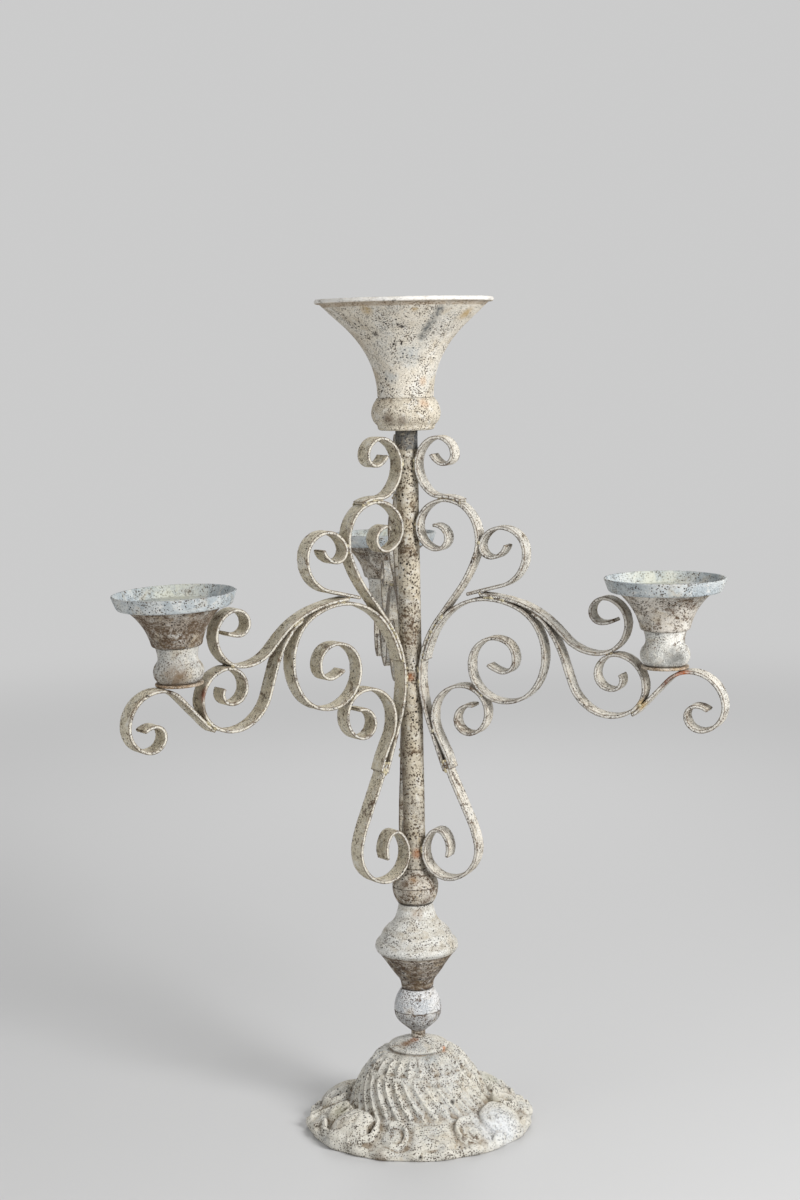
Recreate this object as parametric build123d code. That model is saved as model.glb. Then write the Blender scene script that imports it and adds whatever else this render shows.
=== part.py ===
from build123d import *
from dataclasses import dataclass
from math import acos, atan2, cos, degrees, hypot, pi, radians, sin, sqrt
import os

# Tabletop candelabra, millimetres, +Z up.  The origin is on the stem axis in the plane of the base's foot.

# Forged straps
strap_width = 13.0
strap_thickness = 2.5
weld_film = 0.05            # scale and paint between two bars welded together
tail_length = 8.0           # lower ends of the long bar, bow bar and mid scroll, stacked flat

# Column
stem_diameter = 16.0
stem_wall = 1.5
stem_length = 321.8
rod_diameter = 8.0
rod_clearance = 0.2         # radial, in every hole that the tie rod passes
sheet = 1.6                 # wall of the pressed and spun pieces
spacer_diameter = 10.4
spacer_length = 5.5
lower_bead_radius = 17.5
lower_bead_foot_radius = 6.0
lower_bead_seam = 16.0      # height of a bead's seam above its foot
lower_bead_height = 32.0
upper_bead_radius = 17.0
upper_bead_seam = 13.0
upper_bead_height = 26.0
upper_bead_neck_radius = 8.8
baluster_foot_radius = 11.9
baluster_lip_radius = 30.7
baluster_neck_radius = 12.5
baluster_lower_height = 29.5
baluster_upper_height = 35.0

# Fixings
washer_diameter = 22.0
washer_thickness = 2.0
nut_width = 13.0
nut_height = 6.5
rod_overhang = 2.5          # rod beyond each nut

# Top cup
top_foot_ring_radius = 20.6
top_foot_bulge_radius = 24.9
top_foot_height = 22.1
top_cup_collar_radius = 20.3
top_cup_mouth_radius = 62.3
top_cup_height = 69.8
lip_roll = 1.8              # radius of the rolled lips

# Side cups
disc_radius = 16.4
disc_thickness = 2.0
disc_clearance = 0.1        # between the foot disc and the flank of the lower arm
neck_foot_radius = 14.6
neck_bulge_radius = 17.3
neck_waist_radius = 13.5
neck_height = 24.6
bell_foot_radius = 17.4
bell_mouth_radius = 33.4
bell_height = 26.6
pan_floor_radius = 37.2
pan_rim_radius = 42.3
pan_height = 9.4
pan_dish_radius = 7.5       # flat of the dish that sinks the rivet's head below the pan's floor
pan_dish_depth = 2.4
pan_dish_bend = 2.0
rivet_diameter = 6.0
rivet_clearance = 0.2
rivet_head_radius = 6.0
rivet_head_height = 2.0
rivet_tail_radius = 4.4
rivet_tail_height = 1.8

# Base casting
base_height = 66.5
base_wall = 5.0
base_cap_radius = 22.0
base_tier_radius = 37.2
base_dome_radius = 51.5
base_rim_height = 19.0      # where the dome meets the rim
base_skirt_radius = 77.0
base_edge_radius = 80.4
base_edge_height = 7.0
base_lobe = 2.4             # how far the edge's two lobes stand out
base_ripple = 0.6
base_foot_width = 13.5
base_turn = 2.0             # the casting is clamped this far round from the arms, degrees
short_flutes = 26
long_flutes = 34
scroll_seat = 66.5          # distance of each ornament of the rim from the axis, and its turn from the panel
scroll_spread = 25.0
scroll_radius = 9.2
shell_seat = 66.0
shell_spread = 56.0
shell_height = 9.0
arch_seat = 62.0
arch_spread = 76.0

# Arms
arm_azimuths = {"left": 210.0, "right": 330.0, "back": 90.0}
branch_lift = {"left": 0.0, "right": 0.0, "back": 4.0}
cup_lean = {"left": 2.0, "right": 0.4, "back": 1.0}
arm_height = 144.0          # main weld of the long bar above the foot of the stem

# Levels of the column, each piece standing on the one below
lower_bead_level = base_height + spacer_length
baluster_level = lower_bead_level + lower_bead_height
baluster_seam_level = baluster_level + baluster_lower_height
upper_bead_level = baluster_seam_level + baluster_upper_height
stem_level = upper_bead_level + upper_bead_height
top_foot_level = stem_level + stem_length
top_cup_level = top_foot_level + top_foot_height

lap_pitch = strap_thickness + weld_film
stem_touch = stem_diameter / 2 + weld_film + strap_thickness / 2
weld_level = stem_level + arm_height
rod_hole = rod_diameter / 2 + rod_clearance
rivet_hole = rivet_diameter / 2 + rivet_clearance

os.makedirs("parts", exist_ok=True)


def save(node, shape):
    shape.label = node
    export_step(shape, "parts/" + node + ".step")


# --- Paths of the bars: legs in an arm's own plane, distance from the stem axis first, height second ---


@dataclass
class Leg:
    start: tuple
    heading: float
    radius: float
    amount: float
    end: tuple
    out: float
    centre: tuple


def step(point, heading, distance):
    return (point[0] + distance * cos(radians(heading)), point[1] + distance * sin(radians(heading)))


def run(length):
    return (0.0, length)


def bend(radius, angle):
    """An arc of the given radius; a positive angle turns left."""
    return (radius, angle)


def walk(start, heading, moves):
    legs = []
    for radius, amount in moves:
        if radius == 0:
            end, out, centre = step(start, heading, amount), heading, None
        else:
            side = 90 if amount > 0 else -90
            centre = step(start, heading + side, radius)
            end = step(centre, heading + amount - side, radius)
            out = heading + amount
        legs.append(Leg(start, heading, radius, amount, end, out, centre))
        start, heading = end, out
    return legs


def reverse(legs):
    back = []
    for leg in reversed(legs):
        amount = -leg.amount if leg.radius else leg.amount
        ends = leg.end, leg.out + 180, leg.start, leg.heading + 180
        back.append(Leg(ends[0], ends[1], leg.radius, amount, ends[2], ends[3], leg.centre))
    return back


def part_of(leg, fraction):
    return walk(leg.start, leg.heading, [(leg.radius, leg.amount * fraction)])[0]


def beside(leg, fraction, side):
    """Where a second bar's centre line lies against this one, to its left (+1) or right (-1)."""
    reached = part_of(leg, fraction)
    return step(reached.end, reached.out + 90 * side, lap_pitch), reached.out


def settle(measure, low, high):
    """The value between low and high at which the measure is zero."""
    for _ in range(60):
        middle = (low + high) / 2
        if (measure(low) > 0) == (measure(middle) > 0):
            low = middle
        else:
            high = middle
    return middle


def apart(one, other):
    """Gap left between two bars whose arcs bulge towards each other."""
    span = sqrt((one.centre[0] - other.centre[0]) ** 2 + (one.centre[1] - other.centre[1]) ** 2)
    return span - one.radius - other.radius - lap_pitch


def off_stem(leg):
    """Gap left between the stem and the side of an arc that faces it."""
    return leg.centre[0] - leg.radius - stem_touch


def through(start, heading, *points):
    """Tangent arcs that leave the start at this heading and run through the points."""
    legs = []
    for point in points:
        across, up = point[0] - start[0], point[1] - start[1]
        swing = (degrees(atan2(up, across)) - heading + 180) % 360 - 180
        radius = hypot(across, up) / (2 * sin(radians(abs(swing))))
        legs += walk(start, heading, [bend(radius, 2 * swing)])
        start, heading = point, heading + 2 * swing
    return legs


def onward(legs, *points):
    """The same path, carried on through more points."""
    return legs + through(legs[-1].end, legs[-1].out, *points)


def band(legs, left, right):
    """The face between two lines beside the path, each this far to its left."""
    edges = []
    for distance in (left, right):
        for leg in legs:
            first = step(leg.start, leg.heading + 90, distance)
            last = step(leg.end, leg.out + 90, distance)
            if leg.radius:
                halfway = part_of(leg, 0.5)
                edges.append(ThreePointArc(first, step(halfway.end, halfway.out + 90, distance), last))
            else:
                edges.append(Line(first, last))
    for point, heading in ((legs[0].start, legs[0].heading), (legs[-1].end, legs[-1].out)):
        edges.append(Line(step(point, heading + 90, left), step(point, heading + 90, right)))
    return make_face(edges)


def strap(legs, azimuth):
    """A flat bar bent along the legs, in the upright plane at this azimuth."""
    turn = radians(azimuth)
    plane = Plane(origin=(0, 0, 0), x_dir=(cos(turn), sin(turn), 0), z_dir=(sin(turn), -cos(turn), 0))
    outline = band(legs, strap_thickness / 2, -strap_thickness / 2)
    return extrude(plane * outline, amount=strap_width / 2, both=True)


def long_bar():
    below = walk((stem_touch, weld_level), -90, [bend(96, 19), run(39.5)])
    rise = [bend(96, 17), bend(32.5, 48), bend(24, 67), bend(21.5, 61)]
    scroll = rise + [bend(16.5, 96), bend(8.5, 136), bend(9.5, 67)]

    def above(length):
        return walk((stem_touch, weld_level), 90, [bend(69, -37), run(length)] + scroll)

    length = settle(lambda length: off_stem(above(length)[6]), 0.0, 60.0)
    return reverse(below) + above(length)


def top_scroll(crest):
    """Lies on the crest of the long bar, runs in to the stem and curls up and over."""
    seat = crest.radius + lap_pitch

    def below(length, height):
        return walk((stem_touch, height), -90, [bend(26, 50), bend(13.5, 40), run(length), bend(seat, -28)])

    length = crest.centre[0] - below(0.0, 0.0)[1].end[0]
    height = crest.centre[1] + seat - below(0.0, 0.0)[1].end[1]
    curl = walk((stem_touch, height), 90, [bend(20, -62), bend(12, -117), bend(7.2, -120), bend(14, -35)])
    return reverse(below(length, height)) + curl


def big_scroll(carrier, lift):
    """Laps the outer side of the long bar and curls over and back."""
    lap = 0.28
    start, heading = beside(carrier, lap, -1)
    seat = bend(carrier.radius - lap_pitch, carrier.amount * (1 - lap))
    over = [bend(44.5, -47.5 + lift), bend(52, -35), bend(32, -27.5), bend(40, -66.5)]
    curl = [bend(28, -80.5), bend(25, -83), bend(18.5, -88.5), bend(14, -90.5), bend(8.5, -91), bend(28, -21)]
    return walk(start, heading, [seat] + over + curl)


def main_arm(carrier):
    """Touches the back of the big scroll, dips and curls up in an open scroll."""
    start, heading = beside(carrier, 0.40, 1)
    butt = reverse(walk(start, heading + 180, [bend(125, 5.8)]))
    dip = [bend(110, -8.5), bend(68, -28.5), run(10), bend(32, 46), bend(22, 83)]
    curl = [bend(18, 80), bend(10.5, 85), bend(8, 115), bend(23, 24)]
    return butt + walk(start, heading, dip + curl)


def lower_arm(carrier, dip):
    """Leaves the underside of the main arm, swings under it and curls up against it."""
    start, heading = beside(carrier, 0.38, -1)
    lead = [bend(carrier.radius - lap_pitch, -4), bend(14, -12), bend(54, -15), bend(78, -13)]
    curl = [bend(32, 49), bend(28, 59), bend(20.5, 55), bend(22, 77.5)]
    curl += [bend(14.5, 91), bend(11, 111), bend(7, 115)]

    def path(length):
        return walk(start, heading, lead + [run(length)] + curl)

    return path(settle(lambda length: apart(path(length)[9], dip), 0.0, 40.0))


def end_scroll(carrier, follower):
    """Laps the underside of the lower arm, rises to the crest that carries the cup and curls down."""
    lap = 0.92
    start, heading = beside(carrier, lap, -1)
    seat = [bend(carrier.radius + lap_pitch, carrier.amount * (1 - lap))]
    seat += [bend(follower.radius + lap_pitch, 10)]
    curl = [bend(22, -46), bend(24, -84), bend(17.5, -88), bend(10.5, -85), bend(7.5, -109), bend(15, -31)]
    return walk(start, heading, seat + [run(29.5)] + curl)


def ear_scroll(arm, flank, lift):
    """Rests on the butt of the main arm and curls back against the long bar."""
    heading = 14.5 + lift
    corner = step(arm.start, arm.heading + 90, strap_thickness / 2)
    start = step(corner, heading + 90, strap_thickness / 2 + weld_film)
    tail = reverse(walk(start, heading + 180, [run(10)]))
    curl = [bend(24, 80 - lift), bend(17.5, 88), bend(16, 68), bend(8, 116), bend(12, 70)]

    def path(length):
        return tail + walk(start, heading, [run(length)] + curl)

    return path(settle(lambda length: apart(path(length)[5], flank), 0.0, 40.0))


def stacked(tail, distance, laps):
    """A point on the outer side of the long bar's lower end."""
    return step(step(tail.start, tail.heading, distance), tail.heading - 90, laps * lap_pitch)


def bow_bar(tail):
    """Welded between the long bar and the mid scroll, bows out and curls in under, against the stem."""
    start = stacked(tail, tail_length - 1, 1)
    lead = [run(tail_length - 1), bend(64, 5), run(33.8), bend(75, -13)]
    curl = [bend(19, -121), bend(22, -29), bend(6.6, -99), bend(17, -59)]

    def path(radius):
        return walk(start, tail.heading + 180, lead + [bend(radius, -85)] + curl)

    return path(settle(lambda radius: off_stem(path(radius)[5]), 15.0, 40.0))


def mid_scroll(tail, coil):
    """Welded on the bow bar, leans in beside the long bar and curls against the big scroll."""
    lead = [run(tail_length), bend(38, 6.8)]
    curl = [bend(31, -29.5), bend(23, -88), bend(18.5, -114), bend(15, -46), bend(10, -131), bend(11.5, -80)]

    def path(length):
        return walk(stacked(tail, 0.0, 2), tail.heading, lead + [run(length)] + curl)

    return path(settle(lambda length: apart(path(length)[5], coil), 0.0, 60.0))


def arm_bars(lift):
    long_legs = long_bar()
    big_legs = big_scroll(long_legs[2], lift)
    main_legs = main_arm(big_legs[2])
    lower_legs = lower_arm(main_legs[2], main_legs[5])
    return {
        "long_bar": long_legs,
        "top_scroll": top_scroll(long_legs[6]),
        "big_scroll": big_legs,
        "main_arm": main_legs,
        "lower_arm": lower_legs,
        "end_scroll": end_scroll(lower_legs[6], lower_legs[7]),
        "ear_scroll": ear_scroll(main_legs[0], long_legs[5], lift),
        "bow_bar": bow_bar(long_legs[0]),
        "mid_scroll": mid_scroll(long_legs[0], big_legs[6]),
    }


# --- Turned, pressed and spun pieces, drawn as (radius, height) and made on the Z axis ---


def turned(*edges):
    """A solid of revolution from a closed outline."""
    return revolve(Plane.XZ * make_face(edges), Axis.Z)


def spun(legs, low, high):
    """Sheet of even thickness on the inner side of a line, trimmed flat at two heights."""
    shell = revolve(Plane.XZ * band(legs, sheet, 0), Axis.Z)
    return between(shell, low, high)


def floor_of(hole, radius, corner, angle):
    """A flat floor from a hole outwards that turns up at a corner."""
    return walk((hole, 0), 0, [run(radius - corner - hole), bend(corner, angle)])


def ring(inner, outer, low, high):
    return Pos(0, 0, low) * extrude(Circle(outer) - Circle(inner), amount=high - low)


def rod(radius, low, high):
    return Pos(0, 0, low) * extrude(Circle(radius), amount=high - low)


def between(shape, low, high):
    """Trims a piece flat at two heights."""
    reach = 2 * base_edge_radius
    return shape & rod(reach, low, high)


def lower_bead():
    """Two pressed halves that meet at a seam, the lower one drawn in to a point round the rod."""
    seam, top = lower_bead_seam, lower_bead_height
    widest = (lower_bead_radius, seam)
    foot, crown = lower_bead_foot_radius, baluster_foot_radius
    point = through(widest, -90, (foot + 7.4, 6.6), (foot, 0))
    lower = spun(reverse(point), 0, seam) + ring(rod_hole, foot, 0, sheet)
    upper = spun(through(widest, 90, (crown, top)), seam, top) + ring(rod_hole, crown, top - sheet, top)
    return Pos(0, 0, lower_bead_level) * lower, Pos(0, 0, lower_bead_level) * upper


def upper_bead():
    """Two pressed halves, the upper one drawn up into a collar that carries the stem."""
    seam, top = upper_bead_seam, upper_bead_height
    widest = (upper_bead_radius, seam)
    foot, neck = baluster_neck_radius, upper_bead_neck_radius
    lower = spun(reverse(through(widest, -90, (foot, 0))), 0, seam) + ring(rod_hole, foot, 0, sheet)
    dome = through(widest, 90, (neck + 1.2, top - 3.4))
    collar = walk(dome[-1].end, dome[-1].out, [bend(1.2, 90 - dome[-1].out), run(2.4)])
    upper = spun(dome + collar, seam, top) + ring(rod_hole, neck, top - sheet, top)
    return Pos(0, 0, upper_bead_level) * lower, Pos(0, 0, upper_bead_level) * upper


def baluster():
    """An inverted bowl under a shoulder with a rounded lip, seated on each other at the lip."""
    foot, lip, neck = baluster_foot_radius, baluster_lip_radius, baluster_neck_radius
    seam, top = baluster_lower_height, baluster_upper_height
    flare = [(foot + 2.3, 8.8), (foot + 8.1, 16.7), (lip - 1.5, seam)]
    bowl = spun(onward(floor_of(rod_hole, foot, 2.4, 90), *flare), 0, seam)
    bulge = through((lip - 1.1, 0), 55, (lip - 1.3, 6.6), (lip - 3.4, 8.4))
    groove = walk(bulge[-1].end, bulge[-1].out, [bend(1.0, 105 - bulge[-1].out)])
    shoulder = onward(bulge + groove, (lip - 10.5, 18.6), (neck + 2.1, 26.4), (neck, top))
    cap = spun(shoulder, 0, top) + ring(rod_hole, neck, top - sheet, top)
    return Pos(0, 0, baluster_level) * bowl, Pos(0, 0, baluster_seam_level) * cap


def top_foot():
    """A spun bowl with a stepped foot that stands on the stem and carries the top cup."""
    top, bulge = top_foot_height, top_foot_bulge_radius
    base = floor_of(rod_hole, top_foot_ring_radius, 2.4, 90)
    step_out = walk(base[-1].end, 90, [run(0.6), bend(1.0, -50)])
    legs = onward(base + step_out, (bulge, 13.4), (top_cup_collar_radius + 0.8, top))
    return Pos(0, 0, top_foot_level) * spun(legs, 0, top)


def top_cup():
    """A spun trumpet with a flat floor and a rolled lip."""
    collar, mouth, top = top_cup_collar_radius, top_cup_mouth_radius, top_cup_height
    base = floor_of(rod_hole, collar, 2.4, 90)
    flare = onward(base, (collar + 8.2, 33.2), (44.0, 52.6), (mouth, top))
    return Pos(0, 0, top_cup_level) * (spun(flare, 0, top) + Pos(0, 0, top) * Torus(mouth, lip_roll))


def cup_pieces():
    """The four pieces of a side cup and their rivet, standing on z = 0."""
    foot, waist, bulge = neck_foot_radius, neck_waist_radius, neck_bulge_radius
    neck_base = floor_of(rivet_hole, foot, 2.0, 35)
    neck = onward(neck_base, (bulge, 7.5), (waist + 1.3, 13.6), (waist, 17.5), (foot + 0.4, neck_height))
    bell_base = floor_of(rivet_hole, bell_foot_radius, 2.0, 78)
    bell = onward(bell_base, (bell_foot_radius + 4.8, 14), (bell_mouth_radius + 0.4, bell_height + 0.6))
    rise = degrees(acos(1 - pan_dish_depth / (2 * pan_dish_bend)))
    dish = walk((rivet_hole, -pan_dish_depth), 0, [
        run(pan_dish_radius - rivet_hole), bend(pan_dish_bend, rise), bend(pan_dish_bend, -rise),
    ])
    floor = walk(dish[-1].end, 0, [run(pan_floor_radius - dish[-1].end[0]), bend(2.2, 68)])
    pan = onward(dish + floor, (pan_rim_radius, pan_height))
    bell_level = disc_thickness + neck_height
    pan_level = bell_level + bell_height
    head_level = pan_level + sheet - pan_dish_depth
    shank = rod(rivet_diameter / 2, -rivet_tail_height, head_level + rivet_head_height / 2)
    head = Cone(rivet_head_radius, rivet_head_radius * 0.6, rivet_head_height)
    tail = rod(rivet_tail_radius, -rivet_tail_height, 0)
    return {
        "cup_foot_disc": ring(rivet_hole, disc_radius, 0, disc_thickness),
        "cup_neck": Pos(0, 0, disc_thickness) * spun(neck, 0, neck_height),
        "cup_bell": Pos(0, 0, bell_level) * spun(bell, 0, bell_height),
        "cup_pan": Pos(0, 0, pan_level) * spun(pan, -pan_dish_depth, 2 * pan_height),
        "cup_rivet": shank + tail + Pos(0, 0, head_level + rivet_head_height / 2) * head,
    }


# --- Fixings ---


def washer(low):
    return ring(rod_hole, washer_diameter / 2, low, low + washer_thickness)


def nut(low):
    hexagon = RegularPolygon(nut_width / 2, 6, major_radius=False) - Circle(rod_diameter / 2)
    return Pos(0, 0, low) * extrude(hexagon, amount=nut_height)


# --- Base casting ---


def lobed_plate():
    """The casting's edge: drawn out into a lobe at each end, with a ripple between them."""
    count = 48
    outline = []
    for number in range(count):
        angle = 2 * pi * number / count
        radius = base_edge_radius + base_lobe * cos(2 * angle) + base_ripple * cos(12 * angle)
        outline.append((radius * cos(angle), radius * sin(angle)))
    return extrude(make_face(Spline(outline, periodic=True)), amount=base_edge_height)


def base_outside():
    """The section over the cap, the two fluted tiers and the rim."""
    cap, tier, dome, skirt = base_cap_radius, base_tier_radius, base_dome_radius, base_skirt_radius
    top = base_height
    return [
        Line((rod_hole, 0), (rod_hole, top)), Line((rod_hole, top), (5.5, top)), Line((5.5, top), (cap, top - 5.5)),
        Line((cap, top - 5.5), (cap - 1, top - 8)), Line((cap - 1, top - 8), (cap + 2.5, top - 9)),
        ThreePointArc((cap + 2.5, top - 9), (tier - 4.2, top - 13.8), (tier, top - 20)),
        Line((tier, top - 20), (tier + 1.8, top - 21)),
        ThreePointArc((tier + 1.8, top - 21), (dome - 5.3, top - 33), (dome, base_rim_height)),
        Line((dome, base_rim_height), (skirt, base_edge_height)), Line((skirt, base_edge_height), (skirt, 0)),
        Line((skirt, 0), (rod_hole, 0)),
    ]


def base_inside():
    """The hollow, an even wall inside the dome and open at the foot ring."""
    land, under = washer_diameter / 2 + 1.5, base_height - base_wall
    foot = base_edge_radius - base_foot_width
    tier, dome = base_tier_radius - base_wall, base_dome_radius - base_wall
    return Polyline(
        (0, -1), (0, under), (land, under), (base_cap_radius - 2, under - 8), (tier, under - 19), (dome, under - 40),
        (dome + 1, base_rim_height - base_wall - 1), (foot - 3, base_edge_height + 1), (foot, -1), (0, -1),
    )


def flutes(count, radius, upper, lower, twist):
    """Round-bottomed grooves between two (radius, height) points, each turned on by the twist on its way down."""
    cutters = []
    for number in range(count):
        first, last = 360 * number / count, 360 * number / count + twist
        top_end = Vector(upper[0] * cos(radians(first)), upper[0] * sin(radians(first)), upper[1])
        bottom_end = Vector(lower[0] * cos(radians(last)), lower[0] * sin(radians(last)), lower[1])
        along = bottom_end - top_end
        plane = Plane(origin=top_end, z_dir=along)
        cutters.append(plane * Cylinder(radius, along.length, align=(Align.CENTER, Align.CENTER, Align.MIN)))
    return cutters


def on_rim(radius, turn, shape):
    """Sets a shape on the slope of the rim, with its X pointing outwards and down the slope."""
    drop = (base_rim_height - base_edge_height) / (base_skirt_radius - base_dome_radius)
    level = base_rim_height - drop * (radius - base_dome_radius)
    return Rot(0, 0, turn) * Pos(radius, 0, level) * Rot(0, degrees(atan2(drop, 1)), 0) * shape


def boss(along, across, height):
    """An oval swelling."""
    return scale(Sphere(1), (along, across, height))


def curl(radius, thickness, start, angle):
    """A round ridge bent into a scroll."""
    section = Plane.XZ * Pos(radius, 0) * Circle(thickness)
    return Rot(0, 0, start) * revolve(section, Axis.Z, angle)


def shell(along, across, height):
    """An oval swelling with ribs that fan out over it."""
    pieces = [boss(along, across, height)]
    for turn in range(-56, 57, 28):
        rib = Pos(along * 0.42, 0, height * 0.52) * Rot(0, 20, 0) * boss(along * 0.62, across * 0.15, height * 0.52)
        pieces.append(Pos(-along * 0.45, 0, 0) * Rot(0, 0, turn) * rib)
    return pieces


def rim_ornament():
    """Half the rim: two scrolls beside a plain panel, a ribbed shell, and a swelling with a scroll over it."""
    pieces = []
    for hand in (-1, 1):
        start = 90 if hand < 0 else -290
        seat = scroll_seat, hand * scroll_spread
        pieces.append(on_rim(*seat, curl(scroll_radius, 3.0, start + 80 * hand, 290)))
        pieces.append(on_rim(*seat, boss(6.0, 6.0, 4.4)))
    pieces += [on_rim(shell_seat, -shell_spread, piece) for piece in shell(15.0, 19.0, shell_height)]
    pieces.append(on_rim(shell_seat, shell_spread, boss(15.0, 19.0, shell_height - 1)))
    pieces.append(on_rim(arch_seat, arch_spread, curl(scroll_radius - 0.6, 3.8, -150, 300)))
    pieces.append(on_rim(arch_seat, -arch_spread, curl(scroll_radius - 1.8, 2.8, -150, 300)))
    for turn in (-99, -90, -81):
        pieces.append(on_rim(70, turn, Rot(0, 90, 0) * Cylinder(2.4, 20)))
    return pieces


def base_casting():
    """A hollow stepped dome, fluted like a shell, on a lobed rim of shells and scrolls."""
    solid = lobed_plate() + turned(*base_outside())
    for half in (-90, 90):
        for piece in rim_ornament():
            solid += Rot(0, 0, half) * piece
    top = base_height
    cuts = flutes(short_flutes, 2.9, (base_cap_radius + 6.6, top - 8.4), (base_tier_radius + 1.6, top - 18.4), 0)
    cuts += flutes(long_flutes, 2.6, (base_tier_radius + 3.6, top - 21.5), (base_dome_radius + 1, base_rim_height + 1), 22)
    solid -= cuts
    solid -= turned(*base_inside().edges())
    solid -= Cylinder(rod_hole, 3 * base_height)
    return Rot(0, 0, base_turn) * between(solid, 0, base_height)


# --- Assembly ---

save("base_casting", base_casting())
base_washer_level = base_height - base_wall - washer_thickness
base_nut_level = base_washer_level - nut_height
save("base_washer", washer(base_washer_level))
save("base_nut", nut(base_nut_level))
save("column_spacer", ring(rod_hole, spacer_diameter / 2, base_height, lower_bead_level))
for name, halves in (("lower_bead", lower_bead()), ("baluster", baluster()), ("upper_bead", upper_bead())):
    save(name + "_bottom", halves[0])
    save(name + "_top", halves[1])
save("stem_tube", ring(stem_diameter / 2 - stem_wall, stem_diameter / 2, stem_level, top_foot_level))
save("top_cup_foot", top_foot())
save("top_cup", top_cup())
top_washer_level = top_cup_level + sheet
top_nut_level = top_washer_level + washer_thickness
save("top_washer", washer(top_washer_level))
save("top_nut", nut(top_nut_level))
rod_bottom = base_nut_level - rod_overhang
rod_top = top_nut_level + nut_height + rod_overhang
save("tie_rod", rod(rod_diameter / 2, rod_bottom, rod_top))

cup = cup_pieces()
for side, azimuth in arm_azimuths.items():
    bars = arm_bars(branch_lift[side])
    for name, legs in bars.items():
        save(side + "_" + name, strap(legs, azimuth))
    crest = next(leg for leg in bars["end_scroll"][3:] if leg.out <= 0)
    flank = bars["lower_arm"][8]
    disc_level = crest.centre[1] + crest.radius + lap_pitch - strap_thickness / 2
    reach = sqrt((flank.radius + strap_thickness / 2) ** 2 - (disc_level - flank.centre[1]) ** 2)
    cup_radius = flank.centre[0] + reach + disc_clearance + disc_radius
    pivot = Pos(crest.centre[0], 0, crest.centre[1])
    seat = Pos(cup_radius - crest.centre[0], 0, disc_level - crest.centre[1])
    for name, piece in cup.items():
        save(side + "_" + name, Rot(0, 0, azimuth) * pivot * Rot(0, cup_lean[side], 0) * seat * piece)
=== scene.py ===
from math import cos, pi, radians, sin

import bmesh
import bpy
import numpy as np
from mathutils import Matrix, Vector
from mathutils.kdtree import KDTree

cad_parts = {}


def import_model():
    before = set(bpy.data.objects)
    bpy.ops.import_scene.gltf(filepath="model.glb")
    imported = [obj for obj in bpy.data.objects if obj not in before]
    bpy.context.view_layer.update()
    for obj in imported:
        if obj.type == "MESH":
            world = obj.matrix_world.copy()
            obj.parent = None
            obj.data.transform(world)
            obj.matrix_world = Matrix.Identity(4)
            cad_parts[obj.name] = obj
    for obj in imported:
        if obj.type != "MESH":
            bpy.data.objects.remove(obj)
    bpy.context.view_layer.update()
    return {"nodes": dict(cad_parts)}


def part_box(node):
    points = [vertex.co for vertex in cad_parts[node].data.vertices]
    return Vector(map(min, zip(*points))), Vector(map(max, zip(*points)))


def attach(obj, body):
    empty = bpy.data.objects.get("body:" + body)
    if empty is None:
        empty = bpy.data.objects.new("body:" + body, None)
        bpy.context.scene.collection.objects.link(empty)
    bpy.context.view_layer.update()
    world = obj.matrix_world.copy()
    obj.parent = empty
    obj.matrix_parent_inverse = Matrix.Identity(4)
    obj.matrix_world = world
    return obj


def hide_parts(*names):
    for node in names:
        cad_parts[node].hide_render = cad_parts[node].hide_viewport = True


# Tabletop candelabra: the looks.  Metres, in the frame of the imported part; sizes in millimetres use MM.

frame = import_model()
MM = 0.001
ARMS = {"left": 210.0, "right": 330.0, "back": 90.0}     # azimuths of the arms, degrees
STRAPS = (
    "long_bar", "top_scroll", "big_scroll", "main_arm", "lower_arm", "end_scroll", "ear_scroll", "bow_bar",
    "mid_scroll",
)
rng = np.random.default_rng(7)


# --- Materials: node trees that read object coordinates in metres ---

CHALK = (0.70, 0.69, 0.65)
GREY = (0.44, 0.44, 0.42)
BLUE_GREY = (0.36, 0.40, 0.42)
TAN = (0.44, 0.35, 0.22)
MOSS = (0.30, 0.31, 0.19)
BROWN = (0.115, 0.072, 0.04)
SOOT = (0.022, 0.017, 0.014)
RUST = (0.34, 0.13, 0.04)
OCHRE = (0.42, 0.28, 0.10)
HOLLOW_WASH = (0.25, 0.19, 0.125)
STEEL, DARK_STEEL = (0.30, 0.30, 0.29), (0.17, 0.16, 0.15)
SPECULAR = 0.3
EDGE_LINES = 0.55               # how much the corners of a flat bar darken into lines
CREVICE_REACH = 6               # mm
CHIP_SPACING = 3.5              # mm
PAINT_BUMP, STEEL_BUMP = 0.8, 0.25      # mm


def scaled(tint, amount):
    return tuple(amount * part for part in tint)


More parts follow.
